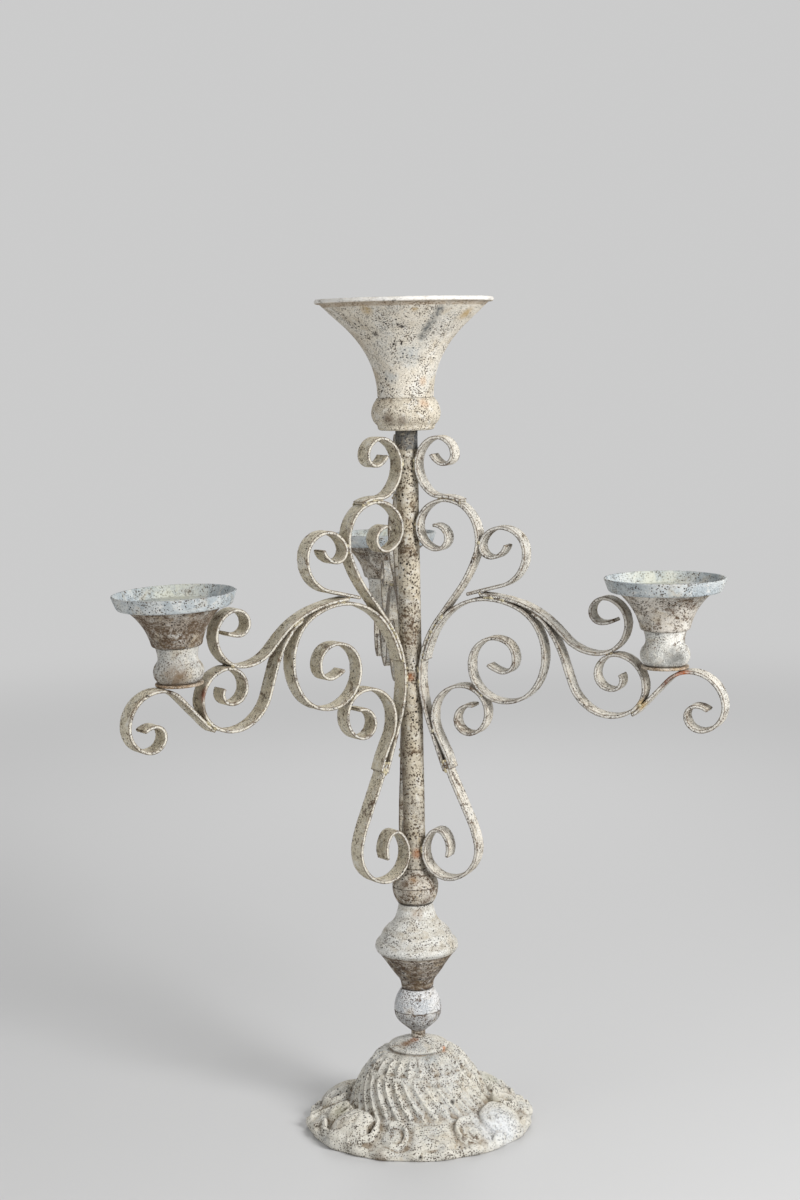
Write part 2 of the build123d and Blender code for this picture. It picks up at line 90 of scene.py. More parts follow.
class Paint:
    """Builds a node material step by step; sockets are passed between the calls."""

    def __init__(self, name):
        self.material = bpy.data.materials.new(name)
        self.material.use_nodes = True
        self.nodes = self.material.node_tree.nodes
        self.links = self.material.node_tree.links
        self.nodes.clear()
        self.out = self.nodes.new("ShaderNodeOutputMaterial")
        self.shader = self.nodes.new("ShaderNodeBsdfPrincipled")
        self.links.new(self.shader.outputs[0], self.out.inputs[0])
        self.coords = self.nodes.new("ShaderNodeTexCoord").outputs["Object"]

    def feed(self, socket, value):
        if isinstance(value, bpy.types.NodeSocket):
            self.links.new(value, socket)
        elif isinstance(value, tuple) and len(value) == 3 and socket.type == "RGBA":
            socket.default_value = value + (1.0,)
        else:
            socket.default_value = value

    def noise(self, size, detail, rough, warp, shift):
        """Noise whose features are about this many millimetres across."""
        node = self.nodes.new("ShaderNodeTexNoise")
        node.inputs["Scale"].default_value = 1 / (size * MM)
        node.inputs["Detail"].default_value = detail
        node.inputs["Roughness"].default_value = rough
        node.inputs["Distortion"].default_value = warp
        self.links.new(self.moved(shift), node.inputs["Vector"])
        return node.outputs["Fac"]

    def moved(self, shift):
        """The object coordinates, moved so that two patterns don't run together."""
        if not shift:
            return self.coords
        node = self.nodes.new("ShaderNodeMapping")
        node.inputs["Location"].default_value = (shift, shift * 0.7, -shift)
        self.links.new(self.coords, node.inputs["Vector"])
        return node.outputs[0]

    def pits(self, spacing, shift):
        """Distance to scattered points this many millimetres apart, 0 at a point."""
        node = self.nodes.new("ShaderNodeTexVoronoi")
        node.inputs["Scale"].default_value = 1 / (spacing * MM)
        self.links.new(self.moved(shift), node.inputs["Vector"])
        return node.outputs["Distance"]

    def math(self, operation, a, b=0.0):
        node = self.nodes.new("ShaderNodeMath")
        node.operation = operation
        self.feed(node.inputs[0], a)
        self.feed(node.inputs[1], b)
        return node.outputs[0]

    def times(self, a, b):
        return self.math("MULTIPLY", a, b)

    def plus(self, a, b):
        return self.math("ADD", a, b)

    def minus(self, a, b):
        return self.math("SUBTRACT", a, b)

    def larger(self, a, b):
        return self.math("MAXIMUM", a, b)

    def fade(self, value, low, high, bottom=0.0, top=1.0):
        """A soft step: bottom where the value is under low, top where it is over high."""
        node = self.nodes.new("ShaderNodeMapRange")
        node.interpolation_type = "SMOOTHSTEP"
        for number, amount in enumerate((low, high, bottom, top), 1):
            node.inputs[number].default_value = amount
        self.feed(node.inputs[0], value)
        return node.outputs[0]

    def mix(self, amount, a, b):
        node = self.nodes.new("ShaderNodeMix")
        node.data_type = "RGBA"
        self.feed(node.inputs[0], amount)
        self.feed(node.inputs[6], a)
        self.feed(node.inputs[7], b)
        return node.outputs[2]

    def height(self):
        node = self.nodes.new("ShaderNodeSeparateXYZ")
        self.links.new(self.coords, node.inputs[0])
        return node.outputs[2]

    def facing(self, direction):
        """1 where the surface faces along this direction, -1 against it, 0 where it is side on."""
        normal = self.nodes.new("ShaderNodeNewGeometry").outputs["Normal"]
        node = self.nodes.new("ShaderNodeVectorMath")
        node.operation = "DOT_PRODUCT"
        self.links.new(normal, node.inputs[0])
        node.inputs[1].default_value = direction
        return node.outputs["Value"]

    def near(self, point, radius):
        """1 at a point, 0 from this many millimetres away."""
        node = self.nodes.new("ShaderNodeVectorMath")
        node.operation = "DISTANCE"
        self.links.new(self.coords, node.inputs[0])
        node.inputs[1].default_value = point
        return self.fade(node.outputs["Value"], 0.15 * radius * MM, radius * MM, 1.0, 0.0)

    def attribute(self, name):
        """A value that the mesh code wrote on each vertex."""
        node = self.nodes.new("ShaderNodeAttribute")
        node.attribute_name = name
        return node.outputs["Fac"]

    def corner_wear(self):
        """Above 0.5 on outer corners, below it in inner ones."""
        return self.nodes.new("ShaderNodeNewGeometry").outputs["Pointiness"]

    def crevice(self, reach):
        """1 deep in a corner or between two pieces, 0 in the open."""
        node = self.nodes.new("ShaderNodeAmbientOcclusion")
        node.samples = 6
        node.inputs["Distance"].default_value = reach * MM
        return self.minus(1.0, node.outputs["AO"])

    def bump(self, height, depth):
        node = self.nodes.new("ShaderNodeBump")
        node.inputs["Distance"].default_value = depth * MM
        self.feed(node.inputs["Height"], height)
        self.links.new(node.outputs[0], self.shader.inputs["Normal"])

    def finish(self, colour, roughness, metallic=0.0):
        self.feed(self.shader.inputs["Base Color"], colour)
        self.feed(self.shader.inputs["Roughness"], roughness)
        self.feed(self.shader.inputs["Metallic"], metallic)
        self.shader.inputs["Specular IOR Level"].default_value = SPECULAR
        return self.material


class Wash(Paint):
    """Chalky paint over rusted iron, laid on in coats; each coat changes the colour made so far."""

    def __init__(self, name, pale, seed):
        super().__init__(name)
        self.seed = seed
        self.cloud = self.noise(34, 6, 0.62, 0.4, seed)
        self.mottle = self.noise(7.5, 7, 0.68, 0.6, seed + 1.3)
        self.grain = self.noise(1.7, 4, 0.7, 0.0, seed + 2.1)
        self.fine = self.noise(1.0, 2, 0.55, 0.0, seed + 3.7)
        self.lightest = tuple(min(0.86, 1.22 * part + 0.05) for part in pale)
        self.colour = pale

    def coat(self, amount, tint):
        self.colour = self.mix(amount, self.colour, tint)

    def chalk(self, patch, rust):
        """Patches of another tone, chalky bloom, pale grains and an ochre tinge in drifts."""
        self.coat(self.fade(self.cloud, 0.44, 0.60), patch)
        self.coat(self.fade(self.mottle, 0.50, 0.66, 0.0, 0.7), CHALK)
        self.coat(self.fade(self.fine, 0.46, 0.62, 0.0, 0.6), self.lightest)
        drift = self.noise(19, 6, 0.7, 0.8, self.seed + 6.1)
        self.coat(self.fade(drift, 0.50, 0.68, 0.0, 0.25 + 0.45 * rust), TAN)

    def bare_iron(self, worn, side):
        """Brown iron where the wash is thin, in crevices and on worn corners."""
        thin = self.plus(self.times(self.mottle, 0.5), self.times(self.grain, 0.5))
        level = 0.36 + 0.13 * worn
        bare = self.fade(thin, level - 0.05, level + 0.02, 1.0, 0.0)
        crevice = self.fade(self.crevice(CREVICE_REACH), 0.30, 0.85)
        deep = self.times(crevice, self.fade(self.grain, 0.34, 0.62, 1.0, 0.35))
        bare = self.larger(bare, self.times(deep, 0.8))
        lines = 0.0
        if side is not None:
            # the thin edges of a flat bar are pale and rubbed, and a dark line parts them from its faces
            across = self.fade(self.math("ABSOLUTE", self.facing(side)), 0.55, 0.90)
            self.coat(self.times(across, self.fade(self.mottle, 0.36, 0.58, 0.9, 0.3)), CHALK)
            lines = EDGE_LINES
        corner = self.fade(self.corner_wear(), 0.52 - 0.02 * lines, 0.57 - 0.05 * lines)
        kept = self.fade(thin, 0.44, 0.58, min(1.0, 0.35 + 0.6 * worn + lines), 0.1 + lines)
        bare = self.larger(bare, self.times(corner, kept))
        self.coat(self.times(bare, 0.88), BROWN)
        return bare

    def carving(self):
        """Brown wash left in the carving's hollows, and pale ridges."""
        sunk = self.attribute("hollow")
        self.coat(self.fade(sunk, -0.9, -0.15, 0.35, 0.0), self.lightest)
        lined = self.times(self.fade(sunk, 0.12, 0.95), self.fade(self.mottle, 0.34, 0.60, 0.9, 0.3))
        self.coat(lined, HOLLOW_WASH)

    def rust_blooms(self, rust):
        bloom = self.noise(16, 7, 0.7, 1.0, self.seed + 5.9)
        rusty = self.fade(bloom, 0.66 - 0.16 * rust, 0.76 - 0.12 * rust, 0.0, 0.75)
        rusty = self.times(rusty, self.fade(self.grain, 0.38, 0.60, 1.0, 0.15))
        self.coat(rusty, self.mix(self.fade(self.fine, 0.42, 0.58), OCHRE, BROWN))

    def pinholes(self, specks, grit):
        """Dark pinholes all over, thicker in places."""
        spread = self.fade(self.noise(12, 3, 0.6, 0.0, self.seed + 3.1), 0.38, 0.60, 0.95, 1.7)
        dots = self.times(self.pits(grit, self.seed + 3.7), spread)
        dots = self.fade(dots, 0.20 + 0.16 * specks, 0.27 + 0.16 * specks, 1.0, 0.0)
        self.coat(self.times(dots, 0.86), scaled(BROWN, 0.55))
        return dots

    def chipped(self, chips):
        """Chips down to dark scale."""
        size = self.noise(17, 3, 0.5, 0.0, self.seed + 8.2)
        size = self.fade(size, 0.40, 0.66, 0.06, 0.12 + 0.15 * chips)
        hole = self.fade(self.minus(size, self.pits(CHIP_SPACING, self.seed + 0.4)), -0.015, 0.02)
        self.coat(self.times(hole, 0.94), SOOT)
        return hole

    def grime(self, shade):
        """Broad brown dirt."""
        dirt = self.noise(15, 7, 0.72, 0.9, self.seed + 9.5)
        dark = self.fade(dirt, 0.60 - 0.14 * shade, 0.67 - 0.14 * shade, 0.0, 0.92)
        self.coat(self.times(dark, self.fade(self.grain, 0.44, 0.62, 1.0, 0.3)), BROWN)

    def turning_marks_and_shade(self, spacing):
        """Marks left by the spinning tool, faint and uneven, as a wave up the Z axis, with painted shade in
        tan along their grooves.
        """
        turns = self.times(self.height(), 2 * pi / (spacing * MM))
        wave = self.math("SINE", self.plus(turns, self.times(self.cloud, 2.5)))
        painted_ring_shade = self.times(self.fade(wave, -0.9, 0.5, 0.34, 0.0), self.fade(self.mottle, 0.36, 0.6))
        self.coat(painted_ring_shade, scaled(TAN, 0.6))
        return wave

    def band(self, low, high, tint, strength):
        up = self.height()
        inside = self.times(self.fade(up, low - MM, low), self.fade(up, high, high + MM, 1.0, 0.0))
        inside = self.times(inside, self.fade(self.mottle, 0.36, 0.56, 0.45, 1.0))
        self.coat(self.times(inside, strength), tint)

    def stain_and_painted_light(self, point, radius, tint, strength):
        blot = self.times(self.near(point, radius), self.fade(self.mottle, 0.36, 0.56, 0.35, 1.0))
        self.coat(self.times(blot, strength), tint)


def whitewash(
    name, pale, patch, worn=0.5, rust=0.35, chips=0.35, specks=0.5, shade=0.0, grit=1.25, rings=0.0, seed=0.0,
    side=None, hollows=False, bands=(), stains_and_painted_light=(),
):
    """Chalky paint over rusted iron.

    worn, rust, chips, specks and shade say how much of each shows, from 0 to 1.  grit is the spacing of the
    pinholes in mm, and rings that of turning marks, with painted shade in their grooves.  side is the
    direction that a flat bar's thin edges face.
    hollows is for a mesh with a hollow attribute.  bands are (low, high, tint, strength) up the Z axis, in
    metres, and stains_and_painted_light are spots of dirt and rust, painted shade and painted highlights, as
    (point in metres, radius in mm, tint, strength).
    """
    paint = Wash(name, pale, seed)
    paint.chalk(patch, rust)
    bare = paint.bare_iron(worn, side)
    if hollows:
        paint.carving()
    paint.rust_blooms(rust)
    dots = paint.pinholes(specks, grit)
    hole = paint.chipped(chips)
    if shade:
        paint.grime(shade)
    relief = paint.plus(paint.times(paint.grain, 0.6), paint.times(paint.fine, 0.4))
    relief = paint.minus(relief, paint.times(hole, 0.9))
    relief = paint.minus(relief, paint.times(dots, 0.5))
    if rings:
        relief = paint.plus(relief, paint.times(paint.turning_marks_and_shade(rings), 0.45))
    for band in bands:
        paint.band(*band)
    for stain_and_painted_light in stains_and_painted_light:
        paint.stain_and_painted_light(*stain_and_painted_light)
    paint.bump(paint.minus(relief, paint.times(bare, 0.3)), PAINT_BUMP)
    return paint.finish(paint.colour, paint.fade(bare, 0.0, 1.0, 0.93, 0.78))


def dull_steel(name, seed):
    """Zinc gone grey, with rust in patches."""
    paint = Paint(name)
    cloud = paint.noise(6, 6, 0.65, 0.4, seed)
    grain = paint.noise(0.8, 4, 0.7, 0.0, seed + 2)
    colour = paint.mix(paint.fade(cloud, 0.35, 0.65), STEEL, DARK_STEEL)
    rusty = paint.times(paint.fade(cloud, 0.48, 0.62), paint.fade(grain, 0.35, 0.6))
    colour = paint.mix(rusty, colour, BROWN)
    spots = paint.noise(3, 5, 0.7, 0.0, seed + 5)
    colour = paint.mix(paint.fade(spots, 0.60, 0.72, 0.0, 0.7), colour, RUST)
    paint.bump(grain, STEEL_BUMP)
    roughness = paint.fade(cloud, 0.3, 0.7, 0.5, 0.8)
    metallic = paint.fade(rusty, 0.0, 1.0, 0.75, 0.05)
    return paint.finish(colour, roughness, metallic)


# --- Meshes ---

BROKEN_CORNER = 0.35            # mm
SHARP_CORNER = radians(35)


def new_piece(name, mesh, material, slot, *nodes):
    piece = bpy.data.objects.new(name, mesh)
    bpy.context.scene.collection.objects.link(piece)
    mesh.materials.clear()
    mesh.materials.append(material)
    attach(piece, "root")
    if nodes:
        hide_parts(*nodes)
    return piece


def cloud_texture(name, size, depth):
    texture = bpy.data.textures.new(name, "CLOUDS")
    texture.noise_scale = size * MM
    texture.noise_depth = depth
    texture.noise_basis = "IMPROVED_PERLIN"
    return texture


DENTS = cloud_texture("dents", 9.0, 1)
PITTING = cloud_texture("pitting", 1.9, 3)


def roughen(piece, texture, amount):
    modifier = piece.modifiers.new(texture.name, "DISPLACE")
    modifier.texture = texture
    modifier.texture_coords = "LOCAL"
    modifier.strength = amount * MM
    modifier.mid_level = 0.5


def new_skin(piece, grid):
    """One even, slightly rounded skin over the piece, made on a grid of this many millimetres."""
    remesh = piece.modifiers.new("skin", "REMESH")
    remesh.mode = "VOXEL"
    remesh.voxel_size = grid * MM
    remesh.use_smooth_shade = True
    relax = piece.modifiers.new("relax", "SMOOTH")
    relax.iterations = 2


def softened(node, material, slot, grid, dents, pitting):
    """A copy of a CAD piece with worn corners and an uneven, pitted skin."""
    mesh = frame["nodes"][node].data.copy()
    piece = new_piece("worn_" + node, mesh, material, slot, node)
    new_skin(piece, grid * (1.0))
    roughen(piece, DENTS, dents)
    roughen(piece, PITTING, pitting)
    return piece


def bevelled(node, material, slot):
    """A copy of a CAD piece with its corners broken."""
    mesh = frame["nodes"][node].data.copy()
    piece = new_piece("eased_" + node, mesh, material, slot, node)
    weld = piece.modifiers.new("weld", "WELD")
    weld.merge_threshold = 0.001 * MM
    bevel = piece.modifiers.new("bevel", "BEVEL")
    bevel.width = BROKEN_CORNER * MM
    bevel.segments = 2
    bevel.limit_method = "ANGLE"
    bevel.angle_limit = SHARP_CORNER
    return piece


def ring_mesh(name, rows, hollow=None):
    """A closed mesh from rings of points, the last joined to the first.

    Each row is an array of points round the axis.  hollow is a depth for each point.
    """
    rows = np.asarray(rows)
    count, around = rows.shape[:2]
    faces = []
    for row in range(count):
        here, above = row * around, (row + 1) % count * around
        for step in range(around):
            after = (step + 1) % around
            faces.append((here + step, here + after, above + after, above + step))
    mesh = bpy.data.meshes.new(name)
    mesh.from_pydata(rows.reshape(-1, 3).tolist(), [], faces)
    mesh.update()
    mesh.polygons.foreach_set("use_smooth", [True] * len(mesh.polygons))
    if hollow is not None:
        mesh.attributes.new("hollow", "FLOAT", "POINT").data.foreach_set("value", np.ravel(hollow).tolist())
    return mesh


# --- The base: a stepped, fluted dome on a rim of shells and scrolls ---

BASE_TURN = radians(2.0)        # the rim's panels face this far round from the Y axis
FLUTES_SHORT = 26
FLUTES_LONG = 34
TWIST = radians(22)             # turn of a long flute from its top to its foot
SHORT_DEPTH, LONG_DEPTH = 2.1, 1.9      # mm
RIDGE = 0.4                     # height of the ridges between flutes, mm
LOBES = 22                      # scallops round the edge
SECTION_STEP = 0.75      # mm between points along the section
POINTS_ROUND = 640
HOLE_RADIUS = 4.5               # mm, inside it is the rod hole
FOOT_HEIGHT = 0.15              # mm, the section's points under this height are its foot
SLOPE = 0.3                     # at a point, as a share of the way from the one before it to the one after
HOLLOW_ROWS, HOLLOW_STEPS = 5, 7        # how far the surroundings of a point reach
CURL_START, CURL_BEND, CURL_END = 62, 215, 300      # degrees round a C-scroll from its open side
CURL_REACH, CURL_DRAWN_IN = 9.6, 3.4    # mm from its centre, and how much less at its tighter end


def base_profile():
    """The casting's section as (radius, height) in mm, from the rod hole over dome and rim to the inside."""
    return np.array([
        (4.2, 61.8), (4.2, 66.2), (5.5, 66.4), (13.0, 64.2), (20.8, 61.4), (22.0, 60.7), (21.9, 59.6),
        (20.9, 58.6), (21.9, 57.9), (24.5, 57.4), (28.9, 55.6), (33.4, 52.3), (36.2, 48.2), (37.1, 46.4),
        (38.6, 45.6), (39.6, 44.0), (43.2, 39.0), (46.8, 32.4), (49.6, 25.0), (51.4, 20.2), (53.6, 18.0),
        (60.0, 15.2), (66.0, 12.3), (72.0, 9.5), (76.4, 7.3), (78.6, 6.9), (80.2, 6.3), (80.9, 4.6),
        (80.6, 1.6), (79.8, 0.25), (77.0, 0.1), (68.2, 0.1), (66.9, 1.0), (63.9, 8.0), (56.0, 10.4),
        (47.5, 13.0), (46.5, 21.5), (32.2, 42.5), (20.0, 53.5), (12.5, 61.3), (4.6, 61.5),
    ])


def resample(points, spacing):
    """Points along a smooth line through these ones, this far apart."""
    fine = []
    last = len(points) - 1
    for index in range(last):
        before, start, end, after = (points[min(max(index + k, 0), last)] for k in (-1, 0, 1, 2))
        pieces = max(2, int(np.hypot(*(end - start)) / spacing))
        for step in range(pieces):
            t = step / pieces
            slope_start, slope_end = SLOPE * (end - before), SLOPE * (after - start)
            fine.append(
                (2 * t**3 - 3 * t**2 + 1) * start + (t**3 - 2 * t**2 + t) * slope_start
                + (3 * t**2 - 2 * t**3) * end + (t**3 - t**2) * slope_end
            )
    return np.array(fine + [points[last]])


def soft_step(value, low, high):
    t = np.clip((value - low) / (high - low), 0, 1)
    return t * t * (3 - 2 * t)


def polar(radius, degrees_round):
    return np.array((radius * cos(radians(degrees_round)), radius * sin(radians(degrees_round))))


def bead(x, y, line, width, height, taper=0.0):
    """A rounded ridge along a line of points, as the height it adds.  taper thins it towards its end."""
    line = np.asarray(line)
    best = np.zeros(x.shape)
    count = len(line) - 1
    for index, (start, end) in enumerate(zip(line[:-1], line[1:])):
        along = end - start
        t = ((x - start[0]) * along[0] + (y - start[1]) * along[1]) / max(along @ along, 1e-9)
        t = np.clip(t, 0, 1)
        size = 1 - taper * (index + t) / count
        off = np.hypot(x - start[0] - t * along[0], y - start[1] - t * along[1]) / (width * size)
        best = np.maximum(best, size * height * np.sqrt(np.clip(1 - off**2, 0, 1)))
    return best


def oval(x, y, centre, along, across, turn):
    """Each place's own coordinates on an oval; on its edge their squares add up to 1."""
    c, s = cos(turn), sin(turn)
    u = ((x - centre[0]) * c + (y - centre[1]) * s) / along
    v = (-(x - centre[0]) * s + (y - centre[1]) * c) / across
    return u, v


def mound(x, y, centre, along, across, turn, height, power=0.5):
    """A rounded boss on an oval foot, as the height it adds at each place."""
    u, v = oval(x, y, centre, along, across, turn)
    return height * np.clip(1 - u * u - v * v, 0, 1) ** power


def disc(x, y, centre, radius, height):
    """A flat boss with a rounded edge."""
    return mound(x, y, centre, radius, radius, 0.0, height, 0.3)


def shell(x, y, centre, turn):
    """A broad swelling with weak ribs that fan out from its inner end."""
    foot = (x, y, centre, 15.0, 19.0, turn)
    swelling = mound(*foot, 9.4)
    u, v = oval(*foot)
    root = u + 0.9
    ribs = np.cos(np.arctan2(v, root) * 17) * soft_step(np.hypot(root, v), 0.35, 0.9)
    return swelling * (1 + 0.04 * ribs) - 0.12 * np.clip(ribs, -1, 0) ** 2 * (swelling > 0)


def curl(centre, open_side, hand):
    """The line of a C-scroll, from its outer end round to the tighter one."""
    line = []
    for t in np.linspace(CURL_START, CURL_END, 40):
        reach = CURL_REACH - CURL_DRAWN_IN * soft_step(t, CURL_BEND, CURL_END)
        a = radians(open_side + hand * t)
        line.append(centre + reach * np.array((cos(a), sin(a))))
    return line


def half_relief(x, y, total, panel):
    """Adds the ornament of half the rim to total.

    panel is the azimuth of the smooth panel's middle; places are (radius in mm, degrees round from it).
    """
    def at(radius, place):
        return polar(radius, panel + place)

    def along(*places):
        return [at(*place) for place in places]

    def outward(place):
        return radians(panel + place)

    # broad swellings, a shell and a plain field, and the lobe's root
    field = mound(x, y, at(66, 55), 15.0, 19.0, outward(55), 8.2)
    total = np.maximum(total, np.maximum(shell(x, y, at(66, -56), outward(-56)), field))
    total = np.maximum(total, mound(x, y, at(70, -88), 13.0, 13.0, outward(-88), 3.4, 0.8))
    # two C-scrolls that open away from the smooth panel, each rolled round a boss, with a groove round it
    for hand in (-1, 1):
        place = 25.0 * hand
        centre = at(66.5, place)
        total = np.maximum(total, disc(x, y, centre, 8.2, 1.8))
        total = np.maximum(total, bead(x, y, curl(centre, panel + place + hand * 90, hand), 2.1, 5.2, 0.3))
        groove = disc(x, y, centre, 13.6, 1.0) - disc(x, y, centre, 12.2, 1.0)
        total = total - 1.1 * np.clip(groove, 0, 1)
    # beside the shell: a curled leaf round a dark hollow, and a fold under the shell's lip
    leaf = along((56, -42), (62, -38.5), (70, -38), (76, -43), (78, -52))
    total = np.maximum(total, bead(x, y, leaf, 2.6, 6.4, 0.3))
    fold = along((79, -50), (80, -60), (79, -70), (75, -77))
    total = np.maximum(total, bead(x, y, fold, 2.4, 5.2))
    total = total - mound(x, y, at(63.5, -41.5), 6.0, 3.0, outward(-41.5), 5.5)
    # a scroll that arches over between each swelling and the lobe
    for place, width, height, size in ((76, 3.9, 8.0, 8.6), (-78, 2.9, 6.2, 7.4)):
        turns = (radians(panel + place - 150 + t) for t in np.linspace(0, 300, 22))
        arch = [at(62, place) + size * np.array((cos(a), sin(a))) for a in turns]
        total = np.maximum(total, bead(x, y, arch, width, height, 0.15))
    # a rib along the rim's shoulder past the plain field
    rib = along((78, 36), (79, 46), (79, 58), (79, 68))
    total = np.maximum(total, bead(x, y, rib, 2.0, 3.0))
    # folds that run out over the lobe
    for place, height in ((-99, 3.2), (-90, 4.0), (-81, 3.2)):
        total = np.maximum(total, bead(x, y, along((60, place), (70, place), (81, place)), 2.6, height))
    # the panel: a shallow raised field with a ledge below it
    radius = np.hypot(x, y)
    inset = soft_step(radius, 54.5, 56.5) * (1 - soft_step(radius, 73.8, 74.8))
    spread = np.abs((np.degrees(np.arctan2(y, x)) - panel + 180) % 360 - 180)
    return np.maximum(total, 1.3 * inset * (1 - soft_step(spread, 11.0, 14.0)))


def rim_relief(x, y):
    """Height of the rim's ornament: the same half design twice, half a turn apart."""
    return half_relief(x, y, half_relief(x, y, np.zeros(x.shape), 270), 450)


def smeared(values, rows, steps):
    """The mean over this many rows and steps to each side."""
    mean = sum(np.roll(values, shift, 1) for shift in range(-steps, steps + 1)) / (2 * steps + 1)
    row = np.arange(len(values))
    shifted = (mean[np.clip(row + shift, 0, len(values) - 1)] for shift in range(-rows, rows + 1))
    return sum(shifted) / (2 * rows + 1)


def base_mesh():
    profile = resample(base_profile(), SECTION_STEP)
    tangent = np.gradient(profile, axis=0)
    tangent /= np.maximum(np.hypot(tangent[:, 0], tangent[:, 1]), 1e-9)[:, None]
    # outward is to the left of the way down the outside
    out_r, out_z = -tangent[:, 1][:, None], tangent[:, 0][:, None]
    radius, height = profile[:, 0][:, None], profile[:, 1][:, None]
    theta = np.linspace(0, 2 * pi, POINTS_ROUND, endpoint=False)[None, :]
    before_foot = np.arange(len(profile)) < int(np.argmax(profile[:, 1] < FOOT_HEIGHT))
    outside = before_foot[:, None] & (radius > HOLE_RADIUS)
    # short flutes under the cap, long ones that swirl down the dome, with a thin ridge between two flutes
    short = np.abs(np.sin(FLUTES_SHORT / 2 * theta)) ** 0.8
    band_short = soft_step(height, 46.0, 47.6) * (1 - soft_step(height, 54.8, 57.0)) * outside
    drop = np.clip((45.0 - height) / 25.0, 0, 1.1)
    long = np.abs(np.sin(FLUTES_LONG / 2 * (theta - TWIST * drop))) ** 0.9
    band_long = soft_step(height, 17.5, 21.0) * (1 - soft_step(height, 42.0, 45.0)) * outside
    uneven = 1 + 0.14 * np.sin(3 * theta + 0.6) * np.cos(5 * theta + height / 9)
    push = (RIDGE - SHORT_DEPTH * short * uneven) * band_short
    push = push + (RIDGE - LONG_DEPTH * long * uneven) * band_long
    # the edge's lobes
    lobes = np.cos(LOBES * theta + 1.0)
    wave = (2.4 * np.cos(2 * theta) + 0.6 * np.cos(12 * theta)) * soft_step(radius, 56.0, 80.0)
    scallop = 1.5 * lobes * soft_step(radius, 78.0, 80.0) * soft_step(height, -1.0, 4.0) * outside
    r = radius + wave + scallop + out_r * push
    z = height + out_z * push
    x, y = r * np.cos(theta), r * np.sin(theta)
    upward = soft_step(out_z * np.ones_like(theta), 0.10, 0.60) * outside
    ripple = 1.2 * lobes * soft_step(radius, 70.0, 79.0)
    z = z + (rim_relief(x, y) * soft_step(radius, 51.0, 56.0) + ripple) * upward
    # how far each point lies below the mean of its surroundings
    to_mean_r, to_mean_z = (smeared(place, HOLLOW_ROWS, HOLLOW_STEPS) - place for place in (r, z))
    hollow = (to_mean_r * out_r + to_mean_z * out_z) * outside
    c, s = cos(BASE_TURN), sin(BASE_TURN)
    points = np.stack([x * c - y * s, x * s + y * c, z], 2) * MM
    return ring_mesh("base_casting_carved", points, hollow)


# --- Welds and seams ---

STRAP_HALF_WIDTH = 6.5          # mm
OUTLINE_STEP = 0.8              # mm between points along a straight stretch
ON_FLANK = 0.2                  # a corner this near to the side of a bar lies on it, mm
LAP_REACH = 0.55                # two bars this close are welded, mm
LAP_SHARE = 0.75                # of the places where they are close have a lump
LAP_SPACING, STEM_SPACING = 1.5, 2.0    # mm between the places
ON_STEM = 8.35                  # a bar's outline this near to the stem's axis lies on the stem, mm
STEM_WELD = 8.4                 # distance of the welds from the stem's axis, mm
WELD_GRID = 0.45                # mm
STEPS_ROUND, STEPS_ACROSS = 240, 14     # of a seam's fillet


def arm_axes(azimuth):
    """The directions across an arm's bars and out along the arm."""
    turn = radians(azimuth)
    return Vector((-sin(turn), cos(turn), 0.0)), Vector((cos(turn), sin(turn), 0.0))


def contact(one, other, reach):
    """Places where two lines of points come this close, as points halfway between them."""
    tree = KDTree(len(other))
    for index, point in enumerate(other):
        tree.insert(point, index)
    tree.balance()
    found = []
    for point in one:
        near, _, gap = tree.find(point)
        if gap < reach * MM:
            found.append((Vector(point) + near) / 2)
    return found


def edge_points(node, across, flank):
    """The corners of a bar's outline on one of its two sides, filled in along straight stretches."""
    mesh = frame["nodes"][node].data
    points = []
    for edge in mesh.edges:
        a, b = (mesh.vertices[v].co for v in edge.vertices)
        if all(abs(end.dot(across) * flank - STRAP_HALF_WIDTH * MM) < ON_FLANK * MM for end in (a, b)):
            pieces = max(1, int((a - b).length / (OUTLINE_STEP * MM)))
            points += [a.lerp(b, k / pieces) for k in range(pieces + 1)]
    return points


def thinned(points, spacing):
    """The points with none closer together than this."""
    kept = []
    for point in points:
        if all((point - other).length > spacing * MM for other in kept):
            kept.append(point)
    return kept


def lap_welds(side, across):
    """Places and sizes of the weld lumps between an arm's bars."""
    places = []
    for flank in (1, -1):
        edges = {name: edge_points(side + "_" + name, across, flank) for name in STRAPS}
        for index, one in enumerate(STRAPS):
            for other in STRAPS[index + 1:]:
                for point in thinned(contact(edges[one], edges[other], LAP_REACH), LAP_SPACING):
                    if rng.random() < LAP_SHARE:
                        depth = rng.uniform(0.2, 1.5) * MM
                        jitter = Vector(rng.uniform(-0.35, 0.35, 3)) * MM
                        places.append((point - across * flank * depth + jitter, rng.uniform(0.9, 1.5)))
    return places


def stem_welds(side, across, outward):
    """Places and sizes of the weld lumps that hold an arm to the stem."""
    places = []
    for name in ("long_bar", "top_scroll", "bow_bar"):
        corners = [vertex.co.copy() for vertex in frame["nodes"][side + "_" + name].data.vertices]
        touching = [corner for corner in corners if corner.dot(outward) < ON_STEM * MM]
        for corner in thinned(touching, STEM_SPACING):
            for flank in (1, -1):
                for way in np.linspace(2.2, 5.2, 3):
                    place = outward * STEM_WELD * MM + across * flank * way * MM
                    place = Vector((place.x, place.y, corner.z + rng.uniform(-0.8, 0.8) * MM))
                    places.append((place, rng.uniform(0.9, 1.6)))
    return places


